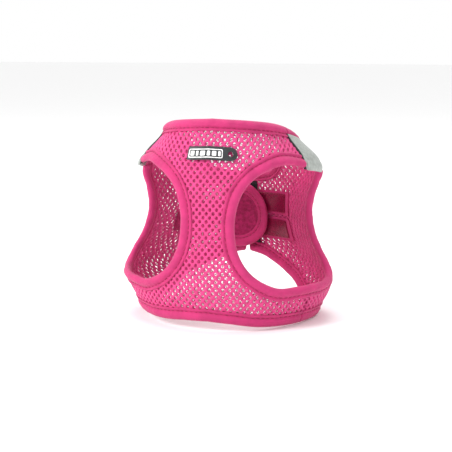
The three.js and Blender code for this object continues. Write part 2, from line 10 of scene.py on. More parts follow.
import bmesh
import bpy
import numpy as np
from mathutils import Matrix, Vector


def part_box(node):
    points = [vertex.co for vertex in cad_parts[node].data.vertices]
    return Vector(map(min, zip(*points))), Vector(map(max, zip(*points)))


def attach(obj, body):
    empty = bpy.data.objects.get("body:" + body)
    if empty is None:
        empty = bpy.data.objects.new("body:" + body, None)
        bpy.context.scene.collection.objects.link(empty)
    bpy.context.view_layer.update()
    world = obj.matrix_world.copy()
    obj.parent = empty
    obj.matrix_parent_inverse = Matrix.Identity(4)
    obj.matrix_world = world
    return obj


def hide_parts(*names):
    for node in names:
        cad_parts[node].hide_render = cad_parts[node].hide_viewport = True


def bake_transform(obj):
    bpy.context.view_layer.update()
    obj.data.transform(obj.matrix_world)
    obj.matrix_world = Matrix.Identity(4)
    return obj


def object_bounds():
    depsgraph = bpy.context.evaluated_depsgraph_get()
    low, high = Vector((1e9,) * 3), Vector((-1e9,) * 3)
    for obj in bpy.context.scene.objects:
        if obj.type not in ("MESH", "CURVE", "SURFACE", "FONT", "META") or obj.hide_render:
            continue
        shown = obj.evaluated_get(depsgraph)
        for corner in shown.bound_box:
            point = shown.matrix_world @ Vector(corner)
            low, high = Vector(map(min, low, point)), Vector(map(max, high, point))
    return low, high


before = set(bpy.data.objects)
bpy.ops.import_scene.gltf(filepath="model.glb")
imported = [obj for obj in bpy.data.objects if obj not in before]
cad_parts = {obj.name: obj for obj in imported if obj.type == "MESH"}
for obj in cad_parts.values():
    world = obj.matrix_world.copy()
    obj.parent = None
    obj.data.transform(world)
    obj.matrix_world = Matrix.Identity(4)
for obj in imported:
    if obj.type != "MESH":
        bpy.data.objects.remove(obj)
cad_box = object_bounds()

# ---- Sizes that the CAD shares ----
girth_width = 134
front_depth = 60
back_depth = 56
neck_seam_height = 119.4
hem_lean = 2
left_spread = 3.5
right_spread = 4
neck_rise = 0.88
panel_thickness = 2.6
binding_width = 8
hem_drop = 2.5
seam_angle = 64
shoulder_angle = 70
wing_top_angle = 90
back_gap = 2
edge_tape_width = 8
buckle_height = 54
buckle_reach = 19
socket_mouth = 6
buckle_inner = 59.2
buckle_thickness = 6.4
webbing_width = 15
webbing_thickness = 1.3
clearance = 0.3
flap_radius = 23.5
flap_reach = 18
flap_height = 53
flap_base_reach = 10.5
flap_layer = -4.95
hook_far = 34
ring_reach = 33

# The body's own origin in the row frame, from where the CAD put the buckle's socket.
socket_low, socket_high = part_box("buckle_socket")
origin = np.array([
    socket_high.x * 1000 - socket_mouth,
    socket_low.y * 1000 - buckle_inner,
    (socket_low.z + socket_high.z) * 500 - buckle_height,
])


# ---- The body surface ----
def smooth(stations):
    """A smooth curve y(x) through stations, held level beyond them."""
    xs, ys = np.array(stations, float).T
    widths = np.diff(xs)
    slopes = np.diff(ys) / widths
    inner = (slopes[:-1] * widths[1:] + slopes[1:] * widths[:-1]) / (widths[:-1] + widths[1:])
    tangents = np.concatenate([slopes[:1], inner, slopes[-1:]])

    def at(x):
        held = np.clip(x, xs[0], xs[-1])
        i = np.clip(np.searchsorted(xs, held, side="right") - 1, 0, len(xs) - 2)
        t = (held - xs[i]) / widths[i]
        level = (2 * t**3 - 3 * t**2 + 1) * ys[i] + (3 * t**2 - 2 * t**3) * ys[i + 1]
        lean = (t**3 - 2 * t**2 + t) * tangents[i] + (t**3 - t**2) * tangents[i + 1]
        return level + lean * widths[i]

    return at


neck_share = smooth([
    (0, 0.992), (30, 0.98), (60, 0.955), (90, 0.909), (125, 0.812), (155, 0.662), (180, 0.633),
])
hem_share = smooth([
    (0, 0.03), (15, 0.022), (28, 0.01), (40, 0.004), (70, 0.003), (108, 0.003), (114, 0.012),
    (124, 0.06), (135, 0.11), (146, 0.143), (158, 0.182), (168, 0.218), (180, 0.242),
])
side_share = smooth([
    (0, 0.845), (0.05, 0.9), (0.1, 0.95), (0.2, 1), (0.3, 0.945), (0.38, 0.87), (0.5, 0.795),
    (0.6, 0.775), (0.7, 0.8), (0.8, 0.85), (0.9, 0.785), (1, 0.63), (1.07, 0.575),
])
front_share = smooth([
    (0, 0.933), (0.15, 0.992), (0.3, 1), (0.5, 0.975), (0.7, 0.933), (0.85, 0.867), (1, 0.75), (1.07, 0.715),
])
back_share = smooth([
    (0, 0.991), (0.15, 1), (0.3, 0.996), (0.5, 0.973), (0.7, 0.938), (0.85, 0.902), (1, 0.875),
])
roundness = smooth([(90, 2), (120, 1.7), (150, 1.9), (180, 2.3)])
# Where each side stands further out than the oval, by angle and by height share.
left_by_angle = smooth([(50, 0), (78, 0.7), (98, 1), (120, 0.5), (138, 0)])
left_by_height = smooth([(0.1, 0), (0.3, 0.7), (0.5, 1), (0.7, 0.9), (0.85, 0.2), (1, 0)])
right_by_angle = smooth([(60, 0), (82, 1), (112, 1), (135, 0)])
right_by_height = smooth([(0.78, 0), (0.9, 1), (1, 0.85), (1.07, 0)])


def wrapped(angle):
    return (np.asarray(angle, float) + 180) % 360 - 180


def hem_z(angle):
    return neck_seam_height * hem_share(np.abs(wrapped(angle))) - hem_lean * np.sin(np.radians(angle))


def panel_height(angle):
    return neck_seam_height * neck_share(np.abs(wrapped(angle))) - hem_z(angle)


def share_at(angle, z):
    return (z - hem_z(angle)) / panel_height(angle)


def radius(angle, share):
    sine = np.abs(np.sin(np.radians(angle)))
    cosine = np.cos(np.radians(angle))
    side = girth_width / 2 * side_share(share)
    depth = np.where(cosine > 0, front_depth * front_share(share), back_depth * back_share(share))
    turn = wrapped(angle)
    power = roundness(np.abs(turn))
    oval = ((sine / side) ** power + (np.abs(cosine) / depth) ** power) ** (-1 / power)
    left = left_spread * left_by_angle(-turn) * left_by_height(share)
    right = right_spread * right_by_angle(turn) * right_by_height(share)
    return oval + np.where(turn < 0, left, right)


def softness(angle, share):
    """How far cloth stands off the even body, in millimetres: long shallow waves."""
    a = np.radians(angle)
    return 0.3 * np.sin(5 * a + 4 * share) * np.sin(7 * share + 1) + 0.18 * np.sin(11 * a - 6 * share + 2)


def on_body(angle, share, outside=0.0):
    """Points in the row frame, in metres, outside the middle of the cloth by some millimetres."""
    angle, share, outside = np.broadcast_arrays(angle, share, outside)
    reach = radius(angle, share) + outside + softness(angle, share)
    z = hem_z(angle) + panel_height(angle) * share
    turn = np.radians(angle)
    points = np.stack([reach * np.sin(turn), -reach * np.cos(turn), z], axis=-1)
    return (points + origin) / 1000


def back_angle(way):
    """The angle a given way along the back from its middle, positive towards +X."""
    return 180 - np.degrees(way / (back_depth * back_share(0.5)))


def on_back(way, z, outside):
    angle = back_angle(way)
    return on_body(angle, share_at(angle, z), outside)


# The way round the body at each height, so that woven rows keep their pitch all round.
table_heights = np.arange(-6.0, 136.0, 2.0)
table_angles = np.arange(-200.0, 200.5, 1.0)


def arc_table():
    heights, angles = np.meshgrid(table_heights, table_angles, indexing="ij")
    reach = radius(angles, share_at(angles, heights))
    x = reach * np.sin(np.radians(angles))
    y = reach * np.cos(np.radians(angles))
    steps = np.hypot(np.diff(x, axis=1), np.diff(y, axis=1))
    run = np.concatenate([np.zeros((len(table_heights), 1)), np.cumsum(steps, axis=1)], axis=1)
    return run - run[:, [len(table_angles) // 2]]


arcs = arc_table()


def angle_at(way, z):
    """The angle that lies a way round the body from the chest's middle, at a height."""
    way, z = np.broadcast_arrays(np.asarray(way, float), np.asarray(z, float))
    place = np.clip((z - table_heights[0]) / 2, 0, len(table_heights) - 1.001)
    row = place.astype(int)
    found = np.zeros(way.shape)
    for r in np.unique(row):
        here = row == r
        low = np.interp(way[here], arcs[r], table_angles)
        high = np.interp(way[here], arcs[r + 1], table_angles)
        found[here] = low + (high - low) * (place[here] - r)
    return found


# ---- Mesh making ----
class Piece:
    """Collects closed shapes into one mesh, with flat cloth coordinates in millimetres at each point."""

    def __init__(self, name):
        self.name = name
        self.points = []
        self.flats = []
        self.faces = []
        self.kinds = []
        self.count = 0

    def take(self, points, flats, faces, kind=0):
        """Adds points (n, 3), flat coordinates (n, 2) and faces that count from 0."""
        self.points.append(points.reshape(-1, 3))
        self.flats.append(np.broadcast_to(flats, points.shape[:-1] + (2,)).reshape(-1, 2))
        for face in faces:
            self.faces.append([int(i) + self.count for i in face])
            self.kinds.append(kind)
        self.count += self.points[-1].shape[0]

    def tube(self, points, flats, kind=0):
        """Adds a closed tube: points (rows, columns, 3), where the columns go round."""
        rows, columns = points.shape[:2]
        index = np.arange(rows * columns).reshape(rows, columns)
        across = np.roll(index, -1, axis=1)
        quads = np.stack([index[:-1], across[:-1], across[1:], index[1:]], axis=-1).reshape(-1, 4)
        faces = quads.tolist() + [index[0][::-1].tolist(), index[-1].tolist()]
        self.take(points, flats, faces, kind)

    def finish(self, materials, smooth_angle=None):
        mesh = bpy.data.meshes.new(self.name)
        points = np.concatenate(self.points)
        mesh.from_pydata(points.tolist(), [], self.faces)
        flat = mesh.attributes.new("flat_mm", "FLOAT_VECTOR", "POINT")
        flats = np.zeros((len(points), 3), np.float32)
        flats[:, :2] = np.concatenate(self.flats)
        flat.data.foreach_set("vector", flats.ravel())
        for material in materials:
            mesh.materials.append(material)
        mesh.polygons.foreach_set("material_index", np.array(self.kinds, np.int32))
        face_outwards(mesh)
        mesh.shade_smooth()
        if smooth_angle is not None:
            mesh.set_sharp_from_angle(angle=math.radians(smooth_angle))
        made = bpy.data.objects.new(self.name, mesh)
        bpy.context.scene.collection.objects.link(made)
        return made


def face_outwards(mesh):
    work = bmesh.new()
    work.from_mesh(mesh)
    bmesh.ops.recalc_face_normals(work, faces=work.faces)
    work.to_mesh(mesh)
    work.free()


def flat_pairs(u, v):
    return np.stack(np.broadcast_arrays(u, v), axis=-1)


def even_steps(line, start, end, step):
    """Parameters and distances, in millimetres, at even steps along line(t) from start to end."""
    ts = np.linspace(start, end, 800)
    points = line(ts) * 1000
    run = np.concatenate([[0], np.cumsum(np.linalg.norm(np.diff(points, axis=0), axis=1))])
    count = max(2, int(round(run[-1] / step)) + 1)
    along = np.linspace(0, run[-1], count)
    return np.interp(along, run, ts), along


def mirrored_loop(half):
    """A closed section (across, out) from its outer half, which ends at out = 0."""
    return np.array(half + [(s, -h) for s, h in reversed(half[:-1])])


def ripple(x, seed):
    """Uneven small waves between about -1 and 1."""
    total = 0.0
    for k, (length, share) in enumerate([(17.0, 0.45), (9.3, 0.3), (5.7, 0.25)]):
        total = total + share * np.sin(2 * math.pi * x / length + seed * (k + 1.7))
    return total


def stitches(piece, place, line, kind, pitch=3.2, length=2.1, size=0.27, lift=0.0, face=1):
    """Thread stitches along a flat line (n, 2); place(u, v, out) puts flat points in space."""
    line = np.array(line, float)
    run = np.concatenate([[0], np.cumsum(np.linalg.norm(np.diff(line, axis=0), axis=1))])
    starts = np.arange(0.4, run[-1] - length, pitch)
    if len(starts) == 0:
        return
    share = np.linspace(0, 1, 5)
    at = starts[:, None] + length * share[None, :]
    u = np.interp(at, run, line[:, 0])
    v = np.interp(at, run, line[:, 1])
    du = np.interp(at + 0.1, run, line[:, 0]) - np.interp(at - 0.1, run, line[:, 0])
    dv = np.interp(at + 0.1, run, line[:, 1]) - np.interp(at - 0.1, run, line[:, 1])
    norm = np.maximum(np.hypot(du, dv), 1e-9)
    turn = np.arange(6) * math.pi / 3
    girth = size * np.array([0.55, 0.95, 1.0, 0.95, 0.55])[None, :, None]
    side = girth * np.cos(turn)
    out = lift + 0.22 * np.sin(math.pi * share)[None, :, None] + girth * np.sin(turn)
    uu = u[..., None] - dv[..., None] / norm[..., None] * side
    vv = v[..., None] + du[..., None] / norm[..., None] * side
    points = place(uu, vv, face * out)
    for stitch in range(len(starts)):
        flats = np.stack([uu[stitch], vv[stitch]], axis=-1)
        piece.tube(points[stitch], flats, kind)


patch_slice = 1.5  # between the cuts that let a plate bend


def flat_patch(piece, outlines, thickness, bevel, place):
    """A plate cut to flat outlines, with soft edges, laid down by place(u, v, out)."""
    curve = bpy.data.curves.new("cut", "CURVE")
    curve.dimensions = "2D"
    curve.fill_mode = "BOTH"
    curve.extrude = thickness / 2 - bevel
    curve.bevel_depth = bevel
    curve.bevel_resolution = 2
    curve.offset = -bevel
    for outline in outlines:
        spline = curve.splines.new("POLY")
        spline.points.add(len(outline) - 1)
        for point, (u, v) in zip(spline.points, outline):
            point.co = (u, v, 0, 1)
        spline.use_cyclic_u = True
    holder = bpy.data.objects.new("cut", curve)
    bpy.context.scene.collection.objects.link(holder)
    bpy.context.view_layer.update()
    mesh = bpy.data.meshes.new_from_object(holder.evaluated_get(bpy.context.evaluated_depsgraph_get()))
    bpy.data.objects.remove(holder)
    work = bmesh.new()
    work.from_mesh(mesh)
    bmesh.ops.remove_doubles(work, verts=work.verts, dist=1e-4)
    for axis in (0, 1):
        values = [vert.co[axis] for vert in work.verts]
        for cut in np.arange(min(values) + patch_slice / 2, max(values), patch_slice):
            normal = [0.0, 0.0, 0.0]
            normal[axis] = 1.0
            whole = list(work.verts) + list(work.edges) + list(work.faces)
            spot = [cut * n for n in normal]
            bmesh.ops.bisect_plane(work, geom=whole, plane_co=spot, plane_no=normal)
    work.verts.ensure_lookup_table()
    work.verts.index_update()
    flat = np.array([vert.co for vert in work.verts])
    faces = [[vert.index for vert in face.verts] for face in work.faces]
    work.free()
    bpy.data.meshes.remove(mesh)
    piece.take(place(flat[:, 0], flat[:, 1], flat[:, 2]), flat[:, :2], faces)


def rounded_box(low_u, high_u, low_v, high_v, corner, steps=5):
    """A flat outline with round corners."""
    points = []
    corners = [
        (high_u - corner, high_v - corner, 0), (low_u + corner, high_v - corner, 90),
        (low_u + corner, low_v + corner, 180), (high_u - corner, low_v + corner, 270),
    ]
    for u, v, start in corners:
        for turn in np.radians(np.linspace(start, start + 90, steps)):
            points.append((u + corner * math.cos(turn), v + corner * math.sin(turn)))
    return points


def circle(u, v, size, steps=18):
    turns = np.arange(steps) * 2 * math.pi / steps
    return [(u + size * math.cos(turn), v + size * math.sin(turn)) for turn in turns]


# ---- Materials ----
def rgb(red, green, blue):
    """A colour on the 0 to 255 screen scale as linear RGBA."""
    linear = [c / 3294.6 if c <= 10.31 else ((c / 255 + 0.055) / 1.055) ** 2.4 for c in (red, green, blue)]
    return (*linear, 1.0)


class Shader:
    """A material of one Principled BSDF, with its colour and bump worked out from cloth coordinates."""

    def __init__(self, name, colour, roughness, metallic=0.0, sheen=0.0, specular=0.5):
        self.material = bpy.data.materials.new(name)
        self.material.use_nodes = True
        self.tree = self.material.node_tree
        self.shader = self.tree.nodes["Principled BSDF"]
        self.colour = colour
        self.shader.inputs["Base Color"].default_value = colour
        self.shader.inputs["Roughness"].default_value = roughness
        self.shader.inputs["Metallic"].default_value = metallic
        self.shader.inputs["Specular IOR Level"].default_value = specular
        self.shader.inputs["Sheen Weight"].default_value = sheen
        self.shader.inputs["Sheen Roughness"].default_value = 0.45
        self.shader.inputs["Sheen Tint"].default_value = tuple(0.5 + 0.5 * c for c in colour[:3]) + (1.0,)

    def node(self, kind, **values):
        made = self.tree.nodes.new(kind)
        for key, value in values.items():
            setattr(made, key, value)
        return made

    def link(self, source, target):
        self.tree.links.new(source, target)

    def flat(self):
        return self.node("ShaderNodeAttribute", attribute_name="flat_mm").outputs["Vector"]

    def place(self):
        return self.node("ShaderNodeTexCoord").outputs["Object"]

    def wave(self, period, direction):
        wave = self.node("ShaderNodeTexWave", bands_direction=direction)
        wave.inputs["Scale"].default_value = 2 * math.pi / (20 * period)
        self.link(self.flat(), wave.inputs["Vector"])
        return wave.outputs["Fac"]

    def noise(self, scale, detail=2.0):
        noise = self.node("ShaderNodeTexNoise")
        noise.inputs["Scale"].default_value = scale
        noise.inputs["Detail"].default_value = detail
        self.link(self.place(), noise.inputs["Vector"])
        return noise.outputs["Fac"]

    def cells(self, scale):
        cells = self.node("ShaderNodeTexVoronoi")
        cells.inputs["Scale"].default_value = scale
        self.link(self.place(), cells.inputs["Vector"])
        return cells.outputs["Distance"]

    def math(self, operation, first, second):
        made = self.node("ShaderNodeMath", operation=operation)
        for socket, value in zip(made.inputs, (first, second)):
            if isinstance(value, (int, float)):
                socket.default_value = value
            else:
                self.link(value, socket)
        return made.outputs[0]

    def vary(self, factor, dark, light, low=0.35, high=0.65):
        """The colour goes from dark to light times itself as factor goes from low to high."""
        ramp = self.node("ShaderNodeValToRGB")
        ramp.color_ramp.elements[0].position = low
        ramp.color_ramp.elements[1].position = high
        for element, share in zip(ramp.color_ramp.elements, (dark, light)):
            element.color = tuple(min(1.0, c * share) for c in self.colour[:3]) + (1.0,)
        self.link(factor, ramp.inputs["Fac"])
        self.link(ramp.outputs["Color"], self.shader.inputs["Base Color"])
        return self

    def bump(self, height, distance, strength=1.0):
        bump = self.node("ShaderNodeBump")
        bump.inputs["Distance"].default_value = distance
        bump.inputs["Strength"].default_value = strength
        self.link(height, bump.inputs["Height"])
        self.link(bump.outputs["Normal"], self.shader.inputs["Normal"])


def knit_tape(name, colour):
    """Fine stretch knit, with ribs along and across the tape."""
    made = Shader(name, colour, roughness=0.72, sheen=0.25, specular=0.3)
    ribs = made.math("MULTIPLY", made.wave(0.55, "X"), made.wave(0.5, "Y"))
    uneven = made.math("ADD", ribs, made.noise(900.0, 3.0))
    made.bump(uneven, 0.00012, 0.7)
    return made.vary(made.noise(140.0, 4.0), 0.9, 1.06).material


def spacer_knit(name, colour):
    """Filament strands of the air mesh."""
    made = Shader(name, colour, roughness=0.6, sheen=0.2, specular=0.4)
    strands = made.math("ADD", made.wave(0.42, "DIAGONAL"), made.wave(0.35, "Y"))
    uneven = made.math("ADD", strands, made.noise(1200.0, 2.0))
    made.bump(uneven, 0.0001, 0.8)
    return made.vary(made.noise(260.0, 3.0), 0.86, 1.06).material


def velvet(name, colour):
    made = Shader(name, colour, roughness=0.95, sheen=0.6, specular=0.15)
    made.bump(made.math("ADD", made.noise(2600.0, 3.0), made.cells(1500.0)), 0.0003, 0.8)
    return made.vary(made.noise(420.0, 5.0), 0.7, 1.25).material


def hook_plastic(name, colour):
    made = Shader(name, colour, roughness=0.28, specular=0.6)
    made.bump(made.noise(1500.0, 2.0), 0.0001, 0.5)
    return made.vary(made.noise(900.0, 2.0), 0.6, 1.4).material


def webbing(name, colour):
    """Woven webbing with cross ribs."""
    made = Shader(name, colour, roughness=0.6, sheen=0.1, specular=0.35)
    weave = made.math("ADD", made.wave(1.1, "X"), made.math("MULTIPLY", made.wave(0.8, "Y"), 0.6))
    made.bump(weave, 0.0002, 0.8)
    return made.vary(made.noise(600.0, 3.0), 0.7, 1.5).material


def bead_tape(name, colour):
    """Grey reflective tape with a skin of tiny glass beads."""
    made = Shader(name, colour, roughness=0.38, metallic=0.35, specular=0.6)
    made.bump(made.cells(2200.0), 0.00008, 0.7)
    return made.vary(made.noise(500.0, 3.0), 0.86, 1.14).material


def moulded(name, colour, roughness):
    made = Shader(name, colour, roughness=roughness, specular=0.45)
    made.bump(made.noise(1800.0, 3.0), 0.00005, 0.6)
    return made.vary(made.noise(300.0, 3.0), 0.8, 1.25).material


def plated(name, colour):
    made = Shader(name, colour, roughness=0.22, metallic=1.0)
    made.bump(made.noise(900.0, 3.0), 0.00002, 0.5)
    return made.vary(made.noise(220.0, 3.0), 0.88, 1.05).material


def thread(name, colour):
    made = Shader(name, colour, roughness=0.6, sheen=0.2, specular=0.35)
    made.bump(made.noise(3500.0, 2.0), 0.00005, 0.6)
    return made.vary(made.noise(1500.0, 2.0), 0.8, 1.15).material


pink_mesh = spacer_knit("pink_air_mesh", rgb(216, 60, 128))
# The filaments are real strands, but their pink is darker than the mesh's: painted shade for the holes.
pink_filament_painted_shade = thread("pink_filament_painted_shade", rgb(196, 56, 114))
pink_tape = knit_tape("pink_knit_tape", rgb(187, 44, 105))
# The stitches are real thread, coloured darker than the tape they sew: painted shade of the stitched grooves.
pink_thread_painted_shade = thread("pink_thread_painted_shade", rgb(150, 18, 70))
flap_velvet = velvet("magenta_velvet", rgb(160, 36, 88))
hooks = hook_plastic("magenta_hooks", rgb(136, 10, 60))
black_web = webbing("black_webbing", rgb(30, 30, 33))
black_thread = thread("black_thread", rgb(36, 36, 40))
grey_tape = bead_tape("reflective_tape", rgb(158, 163, 158))
black_rubber = moulded("label_rubber", rgb(34, 38, 40), 0.5)
white_print = moulded("label_white", rgb(240, 240, 238), 0.5)
black_plastic = moulded("black_plastic", rgb(26, 26, 28), 0.38)
ring_steel = plated("ring_steel", rgb(205, 207, 210))


# ---- Bindings ----
leg_stations = [
    (70, 0.835), (52, 0.842), (36, 0.795), (25, 0.72), (19, 0.62), (17, 0.49),
    (19.5, 0.36), (27.5, 0.26), (41, 0.2), (54, 0.2), (64, 0.205), (80, 0.215),
    (89, 0.27), (92.5, 0.39), (94, 0.52), (94, 0.66), (92.5, 0.77), (90, 0.835),
]
seam_station = 10
last_station = len(leg_stations) - 1
leg_angle = smooth([(i, angle) for i, (angle, _) in enumerate(leg_stations)])
leg_share = smooth([(i, share) for i, (_, share) in enumerate(leg_stations)])


def leg_moved(t, distance):
    """The leg hole's edge moved away from the hole by a distance on the cloth."""
    step = 1e-3
    t = np.clip(t, 2 * step, last_station - 2 * step)
    angle, share = leg_angle(t), leg_share(t)
    per_degree = math.radians(1) * radius(angle, share)
    per_share = panel_height(angle)
    run_u = (leg_angle(t + step) - leg_angle(t - step)) * per_degree
    run_v = (leg_share(t + step) - leg_share(t - step)) * per_share
    size = np.hypot(run_u, run_v)
    return angle + distance * run_v / size / per_degree, share - distance * run_u / size / per_share


def leg_path(side):
    def path(t, s):
        angle, share = leg_moved(t, s)
        return side * angle, share
    return path


def neck_path(t, s):
    return t + 0 * s, 1 + neck_rise * (binding_width - s) / panel_height(t)


def hem_path(t, s):
    return t + 0 * s, (s - hem_drop) / panel_height(t)


# The section of a folded, stitched binding: a full roll, a stitched groove and a flat lip.
groove = 6.0
roll_section = mirrored_loop([
    (8.0, 0.7), (8.2, 1.15), (7.9, 1.6), (7.1, 1.65), (6.5, 1.35), (groove, 1.0), (5.5, 1.5), (4.9, 2.1),
    (4.0, 2.55), (3.0, 2.7), (2.0, 2.5), (1.1, 1.95), (0.4, 1.1), (0.0, 0.0),
])
stitch_pitch = 3.2
section_step = 0.8  # along a binding
end_round = 1.4  # the length over which a binding's end closes


def binding(name, path, start, end, seed, size=1.0):
    """A rolled binding along path(t, s), with a row of stitches in the groove of each face."""
    piece = Piece(name)
    ts, along = even_steps(lambda t: on_body(*path(t, 3.0)), start, end, section_step)
    across, out = roll_section.T
    end_gap = np.minimum(along, along[-1] - along)
    closing = np.sqrt(1 - (1 - np.clip(end_gap / end_round, 0.02, 1)) ** 2)[:, None]
    tug = 0.5 + 0.5 * np.cos(2 * math.pi * along / stitch_pitch)[:, None]
    in_groove = np.exp(-((across - groove) / 0.7) ** 2)[None, :]
    on_roll = np.exp(-((across - 4.2) / 1.6) ** 2)[None, :]
    waves = ripple(along[:, None] + 1.4 * across[None, :], seed)
    height = np.abs(out)[None, :] * size - 0.3 * tug * in_groove
    height = height + np.where(np.abs(out) > 0.5, 1, 0)[None, :] * (0.17 * waves - 0.12 * tug * on_roll)
    edge_shift = 0.22 * ripple(along[:, None], seed + 3) * np.clip(across[None, :] / binding_width, 0, 1)
    middle = 3.5
    s = middle + (across[None, :] - middle) * (0.6 + 0.4 * closing) + edge_shift
    h = np.sign(out)[None, :] * height * closing
    points = on_body(*path(ts[:, None], s), h)
    girth = np.concatenate([[0], np.cumsum(np.hypot(np.diff(across), np.diff(out)))])
    flats = flat_pairs(along[:, None], girth[None, :])
    piece.tube(points, flats)

    def place(u, v, o):
        return on_body(*path(np.interp(u, along, ts), v), o)

    for face in (1, -1):
        line = [(0.0, groove), (along[-1], groove)]
        stitches(piece, place, line, 1, pitch=stitch_pitch, lift=0.95 * size, face=face)
    made = piece.finish([pink_tape, pink_thread_painted_shade])
    return made


# ---- Pieces at a joint: their placing baked into their meshes ----
wing_of = {1: "right_wing", -1: "left_wing"}
name_of = {1: "right", -1: "left"}


def turn_at_seam(piece, side, angle=seam_angle, share=0.12, reach=8):
    """Bakes the piece's placing into its mesh."""
    start = on_body(side * (angle - 0.5), share)
    end = on_body(side * (angle + reach), share)
    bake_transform(piece)


def turn_at_flap(piece):
    """Bakes the flap piece's placing into its mesh."""
    start = on_back(-flap_base_reach, flap_height, flap_layer)
    end = on_back(-flap_base_reach + 6, flap_height, flap_layer)
    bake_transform(piece)


neck_front = binding("neck_roll_front", neck_path, -shoulder_angle, shoulder_angle, seed=1.0)
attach(neck_front, "chest")
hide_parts("neck_binding_front")
hem_front = binding("hem_roll_front", hem_path, -seam_angle, seam_angle, seed=2.0)
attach(hem_front, "chest")
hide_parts("hem_binding_front")


def back_edge_angle(way):
    return back_angle(way + back_gap / 2)


panel_back_angle = back_edge_angle(edge_tape_width / 2)
binding_back_angle = back_edge_angle(0.2)

for side in (1, -1):
    name = name_of[side]
    wing = wing_of[side]
    made = binding(f"{name}_leg_roll_front", leg_path(side), 0, seam_station + 0.1, seed=3.0 + side)
    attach(made, "chest")
    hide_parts(f"{name}_leg_binding_front")
    made = binding(
        f"{name}_leg_roll_rear", leg_path(side), seam_station - 0.1, last_station, seed=6.0 + side, size=0.93,
    )
    turn_at_seam(made, side, share=0.2)
    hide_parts(f"{name}_leg_binding_rear")
    wing_end = side * binding_back_angle
    made = binding(f"{name}_neck_roll", neck_path, side * (shoulder_angle - 1), wing_end, seed=8.0 + side)
    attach(made, wing)
    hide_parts(f"{name}_neck_binding")
    made = binding(f"{name}_hem_roll", hem_path, side * (seam_angle - 1), wing_end, seed=11.0 + side)
    turn_at_seam(made, side, share=0.0)
    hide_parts(f"{name}_hem_binding")


# ---- Air mesh panels, with their real holes ----
hole_pitch = 4.2
row_pitch = 2.45
hole_half_width = 0.86
hole_half_height = 1.08
strand_height = 0.8
filaments = 4  # that cross each hole
filament_radius = 0.2
rim_scale = 1.32  # of the raised ring round a hole
rim_height = 0.72
wall_height = 0.3  # half of a hole's straight wall
cell_sides = 12
cover = 4.0  # how far a panel reaches under a binding

peak = (hole_pitch**2 / 4 + row_pitch**2) / (2 * row_pitch)  # of a cell, above its hole's middle
shoulder = row_pitch - peak
half_pitch = hole_pitch / 2
cell_ring = np.array([
    (half_pitch, 0), (half_pitch, shoulder), (half_pitch / 2, (shoulder + peak) / 2), (0, peak),
    (-half_pitch / 2, (shoulder + peak) / 2), (-half_pitch, shoulder), (-half_pitch, 0),
    (-half_pitch, -shoulder), (-half_pitch / 2, -(shoulder + peak) / 2), (0, -peak),
    (half_pitch / 2, -(shoulder + peak) / 2), (half_pitch, -shoulder),
])
ring_turns = np.arange(cell_sides) * 2 * math.pi / cell_sides
hole_ring = np.stack([hole_half_width * np.cos(ring_turns), hole_half_height * np.sin(ring_turns)], axis=1)


def leg_limits():
    along = np.linspace(0.01, last_station - 0.01, 160)
    return np.stack(leg_moved(along, cover), axis=1)


leg_limit = leg_limits()


def in_leg_hole(angle, share):
    """Whether points are inside the leg hole's limit, by counting how often a ray crosses it."""
    inside = np.zeros(angle.shape, bool)
    a = np.abs(wrapped(angle))
    for (a0, s0), (a1, s1) in zip(leg_limit, np.roll(leg_limit, -1, axis=0)):
        crosses = (s0 > share) != (s1 > share)
        if s0 != s1:
            inside ^= crosses & (a < (a1 - a0) * (share - s0) / (s1 - s0) + a0)
    return inside


def side_limit(share, top_angle):
    """The panels' side limit goes from the girth seam to the shoulder over the middle of the leg hole."""
    return seam_angle + (top_angle - seam_angle) * np.clip((share - 0.3) / 0.4, 0, 1)


